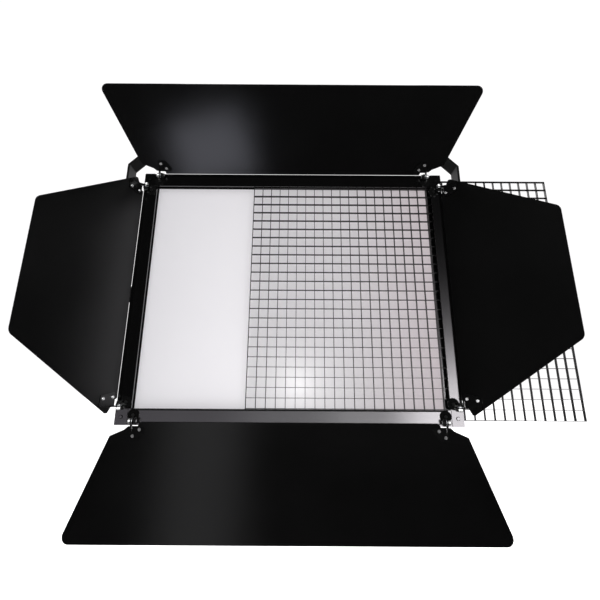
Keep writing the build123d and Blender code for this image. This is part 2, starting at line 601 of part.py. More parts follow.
ROCKER_PIVOT_Y = 67.0
ROCKER_PIN_R, ROCKER_PIN = 1.2, 6.2  # pivot pins, radius and half length
ROCKER_WALL, ROCKER_GAP = 1.0, 0.2  # side walls of its frame, and the play beside the rocker
ROCKER_FRAME_LIP, ROCKER_FRAME_DEPTH = 1.5, 12.0
ROCKER_TILT = 7.0
ROCKER_TOP, ROCKER_DISH, ROCKER_FOOT = 5.5, 4.2, 5.0  # heights off the pivot
ROCKER_TOP_HALF, ROCKER_FOOT_HALF = 8.0, 3.5
ROCKER_HALF = ROCKER_X - ROCKER_WALL - ROCKER_GAP


def rocker_walls(outer_x, outer_z):
    """The frame's outline with the opening that the rocker moves in."""
    with Locations(ROCKER_AT):
        RectangleRounded(2 * outer_x, 2 * outer_z, ROCKER_WALL)
        Rectangle(2 * (ROCKER_X - ROCKER_WALL), 2 * ROCKER_Z - ROCKER_WALL, mode=Mode.SUBTRACT)


with BuildPart() as rocker_frame:
    with BuildSketch(head_plane(PANEL_Y)):
        rocker_walls(ROCKER_X + 2 * ROCKER_WALL, ROCKER_Z + 2 * ROCKER_WALL)
    extrude(amount=-ROCKER_FRAME_LIP)
    with BuildSketch(head_plane(PANEL_Y)):
        rocker_walls(ROCKER_X - RUNNING, ROCKER_Z - RUNNING)
    extrude(amount=ROCKER_FRAME_DEPTH)
    with BuildSketch(side_plane(ROCKER_AT[0] - ROCKER_X)):
        with Locations((ROCKER_PIVOT_Y, ROCKER_AT[1])):
            Circle(ROCKER_PIN_R + RUNNING)
    extrude(amount=2 * ROCKER_X, mode=Mode.SUBTRACT)
rocker_frame.part.label = "rocker_frame"
export_step(rocker_frame.part, "parts/rocker_frame.step")


def rocker_side(x):
    """Square to the rocker's pivot, turned with the rocker, whose off side is down at rest."""
    return Plane(
        origin=(ROCKER_AT[0] + x, ROCKER_PIVOT_Y, HEAD_Z + ROCKER_AT[1]),
        x_dir=(0, cos(radians(ROCKER_TILT)), sin(radians(ROCKER_TILT))), z_dir=(1, 0, 0),
    )


with BuildPart() as power_rocker:
    with BuildSketch(rocker_side(-ROCKER_HALF)):
        with BuildLine():
            Polyline(
                (ROCKER_TOP, ROCKER_TOP_HALF), (-ROCKER_FOOT, ROCKER_FOOT_HALF),
                (-ROCKER_FOOT, -ROCKER_FOOT_HALF), (ROCKER_TOP, -ROCKER_TOP_HALF),
            )
            ThreePointArc(
                (ROCKER_TOP, -ROCKER_TOP_HALF), (ROCKER_DISH, 0), (ROCKER_TOP, ROCKER_TOP_HALF)
            )
        make_face()
    extrude(amount=2 * ROCKER_HALF)
    with BuildSketch(rocker_side(-ROCKER_PIN)):
        Circle(ROCKER_PIN_R)
    extrude(amount=2 * ROCKER_PIN)
power_rocker.part.label = "power_rocker"
export_step(power_rocker.part, "parts/power_rocker.step")

KNOB_BASE, KNOB_HEIGHT = 0.8, 15.0  # off the panel, and above that
KNOB_GRIPS, GRIP_R, KNOB_CHAMFER = 18, 0.9, 0.7
POINTER, POINTER_DEPTH = 1.2, 0.6
POINTER_AT, POINTER_LENGTH = 0.6 * KNOB_R, 0.5 * KNOB_R
SPINDLE_END_Y = BOARD_BACK_Y + 0.5
BUTTON_BACK_Y = BOX_BACK_Y - 0.2  # a button's flange, just off the panel
BUTTON_RISE = 2.4  # above the panel
BUTTON_FLANGE, BUTTON_FLANGE_R, BUTTON_EDGE_R = 1.0, BUTTON_R + 1.2, 0.6


def make_knob(at):
    """A gripped control knob on its spindle, with a pointer groove in its face."""
    with BuildPart() as knob:
        with BuildSketch(head_plane(PANEL_Y + KNOB_BASE)):
            with Locations(at):
                Circle(KNOB_R)
                with PolarLocations(KNOB_R, KNOB_GRIPS):
                    Circle(GRIP_R, mode=Mode.SUBTRACT)
        extrude(amount=-KNOB_HEIGHT)
        chamfer(knob.edges().group_by(Axis.Y)[-1], length=KNOB_CHAMFER)
        with BuildSketch(head_plane(PANEL_Y + KNOB_BASE + KNOB_HEIGHT)):
            with Locations((at[0], at[1] + POINTER_AT)):
                Rectangle(POINTER, POINTER_LENGTH)
        extrude(amount=POINTER_DEPTH, mode=Mode.SUBTRACT)
        with BuildSketch(head_plane(SPINDLE_END_Y)):
            with Locations(at):
                Circle(SHAFT_R)
        extrude(amount=SPINDLE_END_Y - PANEL_Y - KNOB_BASE)
    return knob


def make_button(at):
    """A push button with the flange that keeps it behind the panel."""
    with BuildPart() as button:
        with BuildSketch(head_plane(BUTTON_BACK_Y)):
            with Locations(at):
                Circle(BUTTON_R)
        extrude(amount=-(PANEL + BUTTON_RISE))
        fillet(button.edges().group_by(Axis.Y)[-1], radius=BUTTON_EDGE_R)
        with BuildSketch(head_plane(BUTTON_BACK_Y)):
            with Locations(at):
                Circle(BUTTON_FLANGE_R)
        extrude(amount=BUTTON_FLANGE)
    return button


dimmer_knob = make_knob(KNOBS_AT[0])
dimmer_knob.part.label = "dimmer_knob"
export_step(dimmer_knob.part, "parts/dimmer_knob.step")
colour_knob = make_knob(KNOBS_AT[1])
colour_knob.part.label = "colour_knob"
export_step(colour_knob.part, "parts/colour_knob.step")

button_menu = make_button(BUTTONS_AT[0])
button_menu.part.label = "button_menu"
export_step(button_menu.part, "parts/button_menu.step")
button_up = make_button(BUTTONS_AT[1])
button_up.part.label = "button_up"
export_step(button_up.part, "parts/button_up.step")
button_down = make_button(BUTTONS_AT[2])
button_down.part.label = "button_down"
export_step(button_down.part, "parts/button_down.step")
button_enter = make_button(BUTTONS_AT[3])
button_enter.part.label = "button_enter"
export_step(button_enter.part, "parts/button_enter.step")

# ---------------------------------------------------------------- tilt joint
HUB_FLANGE_R, HUB_NECK_R, HUB_DISC_R = 25.0, 14.0, 20.0
HUB_FLANGE, HUB_DISC, HUB_FLARE = 5.0, 4.0, 2.0
FRICTION, FRICTION_R = 3.0, 19.0  # friction washer
HUB_END = ARM_INNER - FRICTION
TILT_AXIS = Axis((0, 0, HEAD_Z), (1, 0, 0))
SEAT_WASHER, SEAT_WASHER_R = 2.0, 14.0
STUD_IN = 262.0  # inner end of the stud and of the pivot bolt
TILT_KNOB_R, TILT_KNOB, LOBES = 22.0, 24.0, 6
TILT_BOSS = 6.0  # the knob's boss, and the depth left over the stud's end
SCALLOP_R, SCALLOP_OUT, LOBE_R = 8.0, TILT_KNOB_R + 3.0, 1.5


def make_hub(side):
    """The turned boss that carries the head: side is +1 (right) or -1 (left)."""
    with BuildPart() as hub:
        with BuildSketch(head_plane(0)):
            with BuildLine():
                Polyline(
                    (side * SHELL_X, BOLT_R + RUNNING), (side * SHELL_X, HUB_FLANGE_R),
                    (side * (SHELL_X + HUB_FLANGE), HUB_FLANGE_R),
                    (side * (SHELL_X + HUB_FLANGE), HUB_NECK_R),
                    (side * (HUB_END - HUB_DISC - HUB_FLARE), HUB_NECK_R),
                    (side * (HUB_END - HUB_DISC), HUB_DISC_R), (side * HUB_END, HUB_DISC_R),
                    (side * HUB_END, BOLT_R + RUNNING), close=True,
                )
            make_face()
        revolve(axis=TILT_AXIS)
        with BuildSketch(side_plane(side * SHELL_X)):
            with PolarLocations(HUB_BOLT_CIRCLE, HUB_BOLTS, start_angle=FIRST_HUB_BOLT):
                Circle(HUB_SCREW_R + RUNNING)
        extrude(amount=side * HUB_FLANGE, mode=Mode.SUBTRACT)
    return hub


tilt_hub_right = make_hub(1)
tilt_hub_right.part.label = "tilt_hub_right"
export_step(tilt_hub_right.part, "parts/tilt_hub_right.step")
tilt_hub_left = make_hub(-1)
tilt_hub_left.part.label = "tilt_hub_left"
export_step(tilt_hub_left.part, "parts/tilt_hub_left.step")

HUB_HEAD_R, HUB_HEAD, HUB_SOCKET_R, HUB_SOCKET_FLOOR = 3.4, 3.0, 1.8, 1.0
with BuildPart() as hub_screws:
    for side in (-1, 1):
        flange_face = side * (SHELL_X + HUB_FLANGE)
        with BuildSketch(side_plane(flange_face)):
            with PolarLocations(HUB_BOLT_CIRCLE, HUB_BOLTS, start_angle=FIRST_HUB_BOLT):
                Circle(HUB_HEAD_R)
        extrude(amount=side * HUB_HEAD)
        with BuildSketch(side_plane(flange_face + side * HUB_SOCKET_FLOOR)):
            with PolarLocations(HUB_BOLT_CIRCLE, HUB_BOLTS, start_angle=FIRST_HUB_BOLT):
                RegularPolygon(HUB_SOCKET_R, 6)
        extrude(amount=side * HUB_HEAD, mode=Mode.SUBTRACT)
        with BuildSketch(side_plane(flange_face)):
            with PolarLocations(HUB_BOLT_CIRCLE, HUB_BOLTS, start_angle=FIRST_HUB_BOLT):
                Circle(HUB_SCREW_R)
        extrude(amount=-side * (HUB_FLANGE + SHEET + HUB_HEAD))
hub_screws.part.label = "hub_screws"
export_step(hub_screws.part, "parts/hub_screws.step")

with BuildPart() as friction_washers:
    for side in (-1, 1):
        with BuildSketch(side_plane(side * HUB_END)):
            Circle(FRICTION_R)
            Circle(TILT_HOLE_R, mode=Mode.SUBTRACT)
        extrude(amount=side * FRICTION)
friction_washers.part.label = "friction_washers"
export_step(friction_washers.part, "parts/friction_washers.step")

with BuildPart() as seat_washers:
    for side in (-1, 1):
        with BuildSketch(side_plane(side * YOKE_X)):
            Circle(SEAT_WASHER_R)
            Circle(TILT_HOLE_R, mode=Mode.SUBTRACT)
        extrude(amount=side * SEAT_WASHER)
seat_washers.part.label = "seat_washers"
export_step(seat_washers.part, "parts/seat_washers.step")

with BuildPart() as pivot_bolt:
    with BuildSketch(side_plane(-YOKE_X - SEAT_WASHER)):
        RegularPolygon(HEX_R, 6)
    extrude(amount=-HEX_HEIGHT)
    chamfer(pivot_bolt.edges().group_by(Axis.X)[0], length=HEX_CHAMFER)
    with BuildSketch(side_plane(-YOKE_X - SEAT_WASHER)):
        Circle(BOLT_R)
    extrude(amount=YOKE_X + SEAT_WASHER - STUD_IN)
pivot_bolt.part.label = "pivot_bolt"
export_step(pivot_bolt.part, "parts/pivot_bolt.step")

KNOB_FACE = YOKE_X + SEAT_WASHER
with BuildPart() as tilt_stud:
    with BuildSketch(side_plane(STUD_IN)):
        Circle(BOLT_R)
    extrude(amount=KNOB_FACE + TILT_KNOB - TILT_BOSS - STUD_IN)
tilt_stud.part.label = "tilt_stud"
export_step(tilt_stud.part, "parts/tilt_stud.step")

with BuildPart() as tilt_knob:
    with BuildSketch(side_plane(KNOB_FACE)):
        Circle(WASHER_R)
    extrude(amount=TILT_BOSS)
    with BuildSketch(side_plane(KNOB_FACE + TILT_BOSS)) as grip:
        Circle(TILT_KNOB_R)
        with PolarLocations(SCALLOP_OUT, LOBES):
            Circle(SCALLOP_R, mode=Mode.SUBTRACT)
        fillet(grip.vertices(), radius=LOBE_R)
    extrude(amount=TILT_KNOB - TILT_BOSS)
    chamfer(tilt_knob.edges().group_by(Axis.X)[-1], length=2 * HEX_CHAMFER)
    with BuildSketch(side_plane(KNOB_FACE)):
        Circle(BOLT_R)
    extrude(amount=TILT_KNOB - TILT_BOSS, mode=Mode.SUBTRACT)
tilt_knob.part.label = "tilt_knob"
export_step(tilt_knob.part, "parts/tilt_knob.step")

# ---------------------------------------------------------------- barn-door hinges
UP, DOWN, LEFT, RIGHT = (0, 0, 1), (0, 0, -1), (-1, 0, 0), (1, 0, 0)
LONG_EAR, SHORT_EAR = 227.0, 173.4  # inner face of the frame's ear, from mid-leaf
LONG_BASE, SHORT_BASE = 231.5, 171.9  # middle of the round plate that the ear stands on
EARS_TO_HEAD = 2 * EAR + EAR_GAP
PLATE = 1.5  # bracket plates
PLATE_N = HINGE_Y - FRONT_Y  # the rail's face, measured off the hinge axis
BASE_R = 8.5  # round plate that holds a hinge to the rail
BASE_BACK = 8.0  # its centre, back from the hinge axis
LEAF_FACE = LEAF / 2 - LEAF_BEHIND
PIVOT_HEAD_R, PIVOT_HEAD, PIVOT_NUT_R, PIVOT_NUT = 3.8, 4.6, 3.9, 3.2
PIVOT_DOME, DOME_TAPER = 1.6, 40.0  # the tapered end of a pivot screw's head
BASE_HEAD_R, BASE_HEAD = 2.3, 1.2  # the low screws that hold the frame's brackets
RIVET_R, RIVET_HEAD_R, RIVET_HEAD, RIVET_TAPER = 1.5, 2.4, 1.0, 30.0

HINGES = [
    (hinge_plane(UP, HINGE_Z, 0), LONG_EAR, LONG_BASE),
    (hinge_plane(DOWN, HINGE_Z, 0), LONG_EAR, LONG_BASE),
    (hinge_plane(LEFT, HINGE_X, 0), SHORT_EAR, SHORT_BASE),
    (hinge_plane(RIGHT, HINGE_X, 0), SHORT_EAR, SHORT_BASE),
]
HINGE_ENDS = [(plane, ear, end) for plane, ear, base in HINGES for end in (-1, 1)]
BASES = [(plane, end * base) for plane, ear, base in HINGES for end in (-1, 1)]


def span(plane, end, near, far):
    """The plane on the lower side of a slice of hinge, and the slice's width."""
    return across(plane, min(end * near, end * far)), far - near


with BuildPart() as hinge_brackets:
    for plane, base in BASES:
        with BuildSketch(plane.offset(PLATE_N)):
            with Locations((base, -BASE_BACK)):
                Circle(BASE_R)
                Circle(SCREW_R + RUNNING, mode=Mode.SUBTRACT)
        extrude(amount=PLATE)
    for plane, ear, end in HINGE_ENDS:
        face, width = span(plane, end, ear, ear + EAR)
        with BuildSketch(face):
            Circle(EAR_R)
            slab(-EAR_R, EAR_R, PLATE_N, 0)
            Circle(PIVOT_R + RUNNING, mode=Mode.SUBTRACT)
        extrude(amount=width)
hinge_brackets.part.label = "hinge_brackets"
export_step(hinge_brackets.part, "parts/hinge_brackets.step")

with BuildPart() as bracket_screws:
    for plane, base in BASES:
        with BuildSketch(plane.offset(PLATE_N + PLATE)):
            with Locations((base, -BASE_BACK)):
                Circle(BASE_HEAD_R)
        extrude(amount=BASE_HEAD)
        with BuildSketch(plane.offset(PLATE_N)):
            with Locations((base, -BASE_BACK)):
                Circle(SCREW_R)
        extrude(amount=PLATE)
bracket_screws.part.label = "bracket_screws"
export_step(bracket_screws.part, "parts/bracket_screws.step")

with BuildPart() as hinge_washers:
    for plane, ear, end in HINGE_ENDS:
        face, width = span(plane, end, ear + EAR, ear + EAR + EAR_GAP)
        with BuildSketch(face):
            Circle(EAR_R - PLAY)
            Circle(PIVOT_R + RUNNING, mode=Mode.SUBTRACT)
        extrude(amount=width)
hinge_washers.part.label = "hinge_washers"
export_step(hinge_washers.part, "parts/hinge_washers.step")

with BuildPart() as hinge_screws:
    for plane, ear, end in HINGE_ENDS:
        face, width = span(plane, end, ear - PIVOT_NUT, ear + EARS_TO_HEAD)
        with BuildSketch(face):
            Circle(PIVOT_R)
        extrude(amount=width)
        head = across(plane, end * (ear + EARS_TO_HEAD))
        with BuildSketch(head):
            Circle(PIVOT_HEAD_R)
        extrude(amount=end * (PIVOT_HEAD - PIVOT_DOME))
        with BuildSketch(head.offset(end * (PIVOT_HEAD - PIVOT_DOME))):
            Circle(PIVOT_HEAD_R)
        extrude(amount=end * PIVOT_DOME, taper=DOME_TAPER)
hinge_screws.part.label = "hinge_screws"
export_step(hinge_screws.part, "parts/hinge_screws.step")

with BuildPart() as hinge_nuts:
    for plane, ear, end in HINGE_ENDS:
        face, width = span(plane, end, ear - PIVOT_NUT, ear)
        with BuildSketch(face):
            RegularPolygon(PIVOT_NUT_R, 6)
            Circle(PIVOT_R + RUNNING, mode=Mode.SUBTRACT)
        extrude(amount=width)
hinge_nuts.part.label = "hinge_nuts"
export_step(hinge_nuts.part, "parts/hinge_nuts.step")

# ---------------------------------------------------------------- barn-door leaves
# Half outlines, from the middle of the inner edge: along the hinge, and out from its axis.
LONG_LEAF = [(220, 1.5), (222, 7), (236, 7), (241, 11.5), (261, 20), (310, 154)]
SHORT_LEAF = [
    (166.5, 1.5), (168.5, 7), (176, 7), (179, 12), (186.5, 17), (186.5, 21), (88, 186),
]
LEAF_CORNER_R = 10.0
LONG_PLATE = [(210, 8), (210, 13), (219, 25), (231.8, 25), (231.8, 6.5), (222, 6.5)]
SHORT_PLATE = [(158, 8), (158, 15), (162, 34), (178.2, 34), (178.2, 6.5), (168, 6.5)]
LONG_RIVETS = [(218.5, 11.5), (227.5, 20.0)]
SHORT_RIVETS = [(164.5, 11.0), (166.5, 28.5)]
WEB = 16.0  # how far an ear reaches out along its plate


def make_leaf(plane, half, rivets):
    """A flat leaf with rounded outer corners and holes for its rivets."""
    with BuildPart() as leaf:
        with BuildSketch(plane.offset(LEAF_FACE - LEAF)) as sheet:
            with BuildLine():
                Polyline(*half, *[(-x, y) for x, y in reversed(half)], close=True)
            make_face()
            fillet(sheet.vertices().group_by(Axis.Y)[-1], radius=LEAF_CORNER_R)
            with Locations(*rivets, *[(-x, y) for x, y in rivets]):
                Circle(RIVET_R + RUNNING, mode=Mode.SUBTRACT)
        extrude(amount=LEAF)
    return leaf


def make_leaf_brackets(plane, plate, rivets, ear):
    """The two brackets that join a leaf to its pivots."""
    with BuildPart() as brackets:
        for end in (-1, 1):
            with BuildSketch(plane.offset(LEAF_FACE)):
                with BuildLine():
                    Polyline(*[(end * x, y) for x, y in plate], close=True)
                make_face()
                with Locations(*[(end * x, y) for x, y in rivets]):
                    Circle(RIVET_R + RUNNING, mode=Mode.SUBTRACT)
            extrude(amount=PLATE)
            face, width = span(plane, end, ear + EAR + EAR_GAP, ear + EARS_TO_HEAD)
            with BuildSketch(face):
                Circle(EAR_R)
                with BuildLine():
                    Polyline(
                        (0, EAR_R), (WEB, LEAF_FACE + PLATE), (WEB, LEAF_FACE),
                        (0, LEAF_FACE), close=True,
                    )
                make_face()
                Circle(PIVOT_R + RUNNING, mode=Mode.SUBTRACT)
            extrude(amount=width)
    return brackets


def make_rivets(plane, rivets):
    """Rivets with low conical heads, through a leaf and its brackets."""
    points = [*rivets, *[(-x, y) for x, y in rivets]]
    with BuildPart() as group:
        with BuildSketch(plane.offset(LEAF_FACE + PLATE)):
            with Locations(*points):
                Circle(RIVET_HEAD_R)
        extrude(amount=RIVET_HEAD, taper=RIVET_TAPER)
        with BuildSketch(plane.offset(LEAF_FACE - LEAF)):
            with Locations(*points):
                Circle(RIVET_HEAD_R)
        extrude(amount=-RIVET_HEAD, taper=RIVET_TAPER)
        with BuildSketch(plane.offset(LEAF_FACE - LEAF)):
            with Locations(*points):
                Circle(RIVET_R)
        extrude(amount=LEAF + PLATE)
    return group


top_hinge = hinge_plane(UP, HINGE_Z, OPEN_TOP)
bottom_hinge = hinge_plane(DOWN, HINGE_Z, OPEN_BOTTOM)
left_hinge = hinge_plane(LEFT, HINGE_X, OPEN_LEFT)
right_hinge = hinge_plane(RIGHT, HINGE_X, OPEN_RIGHT)

leaf_top = make_leaf(top_hinge, LONG_LEAF, LONG_RIVETS)
leaf_top.part.label = "leaf_top"
export_step(leaf_top.part, "parts/leaf_top.step")
leaf_top_brackets = make_leaf_brackets(top_hinge, LONG_PLATE, LONG_RIVETS, LONG_EAR)
leaf_top_brackets.part.label = "leaf_top_brackets"
export_step(leaf_top_brackets.part, "parts/leaf_top_brackets.step")
leaf_top_rivets = make_rivets(top_hinge, LONG_RIVETS)
leaf_top_rivets.part.label = "leaf_top_rivets"
export_step(leaf_top_rivets.part, "parts/leaf_top_rivets.step")

leaf_bottom = make_leaf(bottom_hinge, LONG_LEAF, LONG_RIVETS)
leaf_bottom.part.label = "leaf_bottom"
export_step(leaf_bottom.part, "parts/leaf_bottom.step")
leaf_bottom_brackets = make_leaf_brackets(bottom_hinge, LONG_PLATE, LONG_RIVETS, LONG_EAR)
leaf_bottom_brackets.part.label = "leaf_bottom_brackets"
export_step(leaf_bottom_brackets.part, "parts/leaf_bottom_brackets.step")
leaf_bottom_rivets = make_rivets(bottom_hinge, LONG_RIVETS)
leaf_bottom_rivets.part.label = "leaf_bottom_rivets"
export_step(leaf_bottom_rivets.part, "parts/leaf_bottom_rivets.step")

leaf_left = make_leaf(left_hinge, SHORT_LEAF, SHORT_RIVETS)
leaf_left.part.label = "leaf_left"
export_step(leaf_left.part, "parts/leaf_left.step")
leaf_left_brackets = make_leaf_brackets(left_hinge, SHORT_PLATE, SHORT_RIVETS, SHORT_EAR)
leaf_left_brackets.part.label = "leaf_left_brackets"
export_step(leaf_left_brackets.part, "parts/leaf_left_brackets.step")
leaf_left_rivets = make_rivets(left_hinge, SHORT_RIVETS)
leaf_left_rivets.part.label = "leaf_left_rivets"
export_step(leaf_left_rivets.part, "parts/leaf_left_rivets.step")

leaf_right = make_leaf(right_hinge, SHORT_LEAF, SHORT_RIVETS)
leaf_right.part.label = "leaf_right"
export_step(leaf_right.part, "parts/leaf_right.step")
leaf_right_brackets = make_leaf_brackets(right_hinge, SHORT_PLATE, SHORT_RIVETS, SHORT_EAR)
leaf_right_brackets.part.label = "leaf_right_brackets"
export_step(leaf_right_brackets.part, "parts/leaf_right_brackets.step")
leaf_right_rivets = make_rivets(right_hinge, SHORT_RIVETS)
leaf_right_rivets.part.label = "leaf_right_rivets"
export_step(leaf_right_rivets.part, "parts/leaf_right_rivets.step")
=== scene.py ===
"""Looks for the LED panel light: finishes for every CAD node, added detail, stage and camera.

Metres, in the CAD model's own frame: +Z up, the lit face looks along -Y.
"""
import json
from math import cos, pi, radians, sin
import bmesh
import bpy
from mathutils import Matrix, Vector


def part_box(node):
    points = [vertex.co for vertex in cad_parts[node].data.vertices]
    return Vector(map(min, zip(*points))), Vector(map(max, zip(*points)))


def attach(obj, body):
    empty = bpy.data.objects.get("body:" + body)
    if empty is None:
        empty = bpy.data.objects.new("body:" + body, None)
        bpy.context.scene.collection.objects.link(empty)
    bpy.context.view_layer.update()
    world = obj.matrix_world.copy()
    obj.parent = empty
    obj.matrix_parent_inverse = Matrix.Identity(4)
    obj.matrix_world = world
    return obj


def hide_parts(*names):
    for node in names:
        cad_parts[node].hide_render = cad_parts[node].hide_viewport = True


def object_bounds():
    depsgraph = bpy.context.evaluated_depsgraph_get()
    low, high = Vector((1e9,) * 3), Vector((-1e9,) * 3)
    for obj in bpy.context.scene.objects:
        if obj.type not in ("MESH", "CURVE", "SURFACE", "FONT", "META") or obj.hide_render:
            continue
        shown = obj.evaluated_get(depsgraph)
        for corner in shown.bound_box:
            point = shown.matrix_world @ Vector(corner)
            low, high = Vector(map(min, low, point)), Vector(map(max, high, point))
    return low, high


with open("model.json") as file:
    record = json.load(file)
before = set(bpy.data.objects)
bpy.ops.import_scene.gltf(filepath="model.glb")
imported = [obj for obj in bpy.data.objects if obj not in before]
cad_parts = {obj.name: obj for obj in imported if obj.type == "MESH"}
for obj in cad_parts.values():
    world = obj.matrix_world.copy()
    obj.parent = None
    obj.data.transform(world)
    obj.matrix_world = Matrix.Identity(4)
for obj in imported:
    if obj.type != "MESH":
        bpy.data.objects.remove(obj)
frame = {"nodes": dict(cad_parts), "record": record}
cad_low, cad_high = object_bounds()
nodes = frame["nodes"]


# ---------------------------------------------------------------- material tools
class Shader:
    """A node material under construction, with short calls for the nodes used here."""

    def __init__(self, name):
        self.material = bpy.data.materials.new(name)
        self.material.use_nodes = True
        self.tree = self.material.node_tree
        self.surface = self.tree.nodes["Principled BSDF"]
        self.place = self.node("ShaderNodeTexCoord").outputs["Object"]

    def node(self, kind, **settings):
        made = self.tree.nodes.new(kind)
        for key, value in settings.items():
            setattr(made, key, value)
        return made

    def link(self, source, target):
        self.tree.links.new(source, target)

    def set(self, **inputs):
        """Sets the surface's inputs: a value, or another node's output."""
        for key, value in inputs.items():
            socket = self.surface.inputs[key.replace("_", " ")]
            if isinstance(value, bpy.types.NodeSocket):
                self.link(value, socket)
            else:
                socket.default_value = value
        return self

    def stretch(self, scale):
        """The object's coordinates, scaled along each axis."""
        made = self.node("ShaderNodeMapping")
        made.inputs["Scale"].default_value = scale
        self.link(self.place, made.inputs["Vector"])
        return made.outputs["Vector"]

    def noise(self, scale, detail=4.0, rough=0.5, along=None):
        made = self.node("ShaderNodeTexNoise")
        made.inputs["Scale"].default_value = scale
        made.inputs["Detail"].default_value = detail
        made.inputs["Roughness"].default_value = rough
        self.link(self.stretch(along) if along else self.place, made.inputs["Vector"])
        return made.outputs["Fac"]

    def ramp(self, value, low, high, start=0.0, end=1.0):
        """Maps a 0 to 1 value to low..high, between start and end."""
        made = self.node("ShaderNodeMapRange")
        self.link(value, made.inputs["Value"])
        made.inputs["From Min"].default_value = start
        made.inputs["From Max"].default_value = end
        made.inputs["To Min"].default_value = low
        made.inputs["To Max"].default_value = high
        return made.outputs["Result"]

    def mix(self, value, first, second):
        """Blends two colours, or two outputs, by value."""
        made = self.node("ShaderNodeMix", data_type="RGBA")
        for key, item in ((0, value), (6, first), (7, second)):
            if isinstance(item, bpy.types.NodeSocket):
                self.link(item, made.inputs[key])
            else:
                made.inputs[key].default_value = item
        return made.outputs[2]

    def bump(self, height, strength, distance=0.001):
        made = self.node("ShaderNodeBump")
        made.inputs["Strength"].default_value = strength
        made.inputs["Distance"].default_value = distance
        self.link(height, made.inputs["Height"])
        self.link(made.outputs["Normal"], self.surface.inputs["Normal"])
        return self

    def edges(self, radius):
        """0 on flat stretches and rising to 1 at worn outer edges."""
        bevel = self.node("ShaderNodeBevel", samples=4)
        bevel.inputs["Radius"].default_value = radius
        geometry = self.node("ShaderNodeNewGeometry")
        dot = self.node("ShaderNodeVectorMath", operation="DOT_PRODUCT")
        self.link(bevel.outputs["Normal"], dot.inputs[0])
        self.link(geometry.outputs["Normal"], dot.inputs[1])
        return self.ramp(dot.outputs["Value"], 1.0, 0.0, 0.72, 0.98)


def grey(level, tint=(1.0, 1.0, 1.0)):
    return (level * tint[0], level * tint[1], level * tint[2], 1.0)


# ---------------------------------------------------------------- finishes
def glowing(name, colour, strength):
    """A display segment, with a faint dot grid."""
    s = Shader(name)
    dots = s.noise(4000.0, 1.0)
    s.set(Base_Color=grey(0.02), Roughness=0.3, Emission_Color=colour)
    s.set(Emission_Strength=s.ramp(dots, 0.8 * strength, strength))
    return s.bump(dots, 0.05, 0.00005).material


def powder_coat(name, level, roughness, grain):
    """Sprayed and baked black paint: fine orange peel, faint cloudiness, brighter worn edges."""
    s = Shader(name)
    cloud = s.noise(9.0, 5.0)
    peel = s.noise(grain, 3.0, 0.6)
    base = s.mix(s.ramp(cloud, 0.0, 1.0, 0.35, 0.65), grey(level * 0.85), grey(level * 1.2))
    worn = s.mix(s.edges(0.0006), base, grey(level * 3.5))
    s.set(Base_Color=worn, Roughness=s.ramp(cloud, roughness * 0.92, roughness * 1.1, 0.3, 0.7))
    s.set(Specular_IOR_Level=0.5)
    return s.bump(peel, 0.12, 0.0003).material


def anodised(name, level, roughness, along):
    """Black anodised extrusion with faint draw lines along its length."""
    s = Shader(name)
    lines = s.noise(900.0, 3.0, 0.7, along=along)
    cloud = s.noise(14.0, 3.0)
    tone = s.mix(lines, grey(level * 0.8, (1, 0.98, 1.03)), grey(level * 1.25, (1, 0.98, 1.03)))
    worn = s.mix(s.edges(0.0005), tone, grey(level * 4 + 0.02))
    s.set(Base_Color=worn, Metallic=0.35, Roughness=s.ramp(lines, roughness * 0.85, roughness * 1.15))
    s.set(Specular_IOR_Level=s.ramp(cloud, 0.45, 0.6))
    return s.bump(lines, 0.06, 0.0002).material


def matt_black(name):
    """Flocked-dark stove enamel of the thin blades, with a painted pinkish highlight along their
    edges.
    """
    s = Shader(name)
    cloud = s.noise(60.0, 4.0)
    grain = s.noise(2500.0, 2.0)
    base = s.mix(cloud, grey(0.003), grey(0.008))
    # painted highlight: the blades' edges are lighter and pinkish, as if catching the light
    s.set(Base_Color=s.mix(s.edges(0.0003), base, grey(0.02, (1.0, 0.9, 0.92))))
    s.set(Roughness=s.ramp(cloud, 0.38, 0.46), Specular_IOR_Level=0.22)
    return s.bump(grain, 0.1, 0.0001).material


def bright_metal(name, level, roughness, tint=(1.0, 1.0, 1.0), metallic=1.0):
    """Plated or turned steel with fine rings and a little tarnish."""
    s = Shader(name)
    fine = s.noise(1800.0, 2.0, 0.6, along=(1.0, 1.0, 0.15))
    dull = s.noise(45.0, 3.0)
    s.set(Base_Color=s.mix(dull, grey(level * 0.85, tint), grey(level, tint)), Metallic=metallic)
    s.set(Roughness=s.ramp(dull, roughness * 0.9, roughness * 1.15, 0.3, 0.7))
    return s.bump(fine, 0.04, 0.00005).material


def moulded(name, colour, roughness, grain=2200.0, strength=0.15):
    """Moulded plastic with a fine spark-eroded texture."""
    s = Shader(name)
    texture = s.noise(grain, 2.0, 0.7)
    dust = s.noise(35.0, 5.0)
    dark = tuple(c * 0.82 for c in colour[:3]) + (1.0,)
    s.set(Base_Color=s.mix(s.ramp(dust, 0.0, 1.0, 0.35, 0.65), dark, colour))
    s.set(Roughness=s.ramp(dust, roughness * 0.9, roughness * 1.15, 0.3, 0.7))
    return s.bump(texture, strength, 0.0002).material


PAINTED_GLOW = 0.22  # the strength of the opal sheet's painted glow: it glows faintly though the lamp is off
HALF_WIDTH, SHADE_FROM = 0.24, 0.08  # of the sheet, and where the painted shade on its right side starts
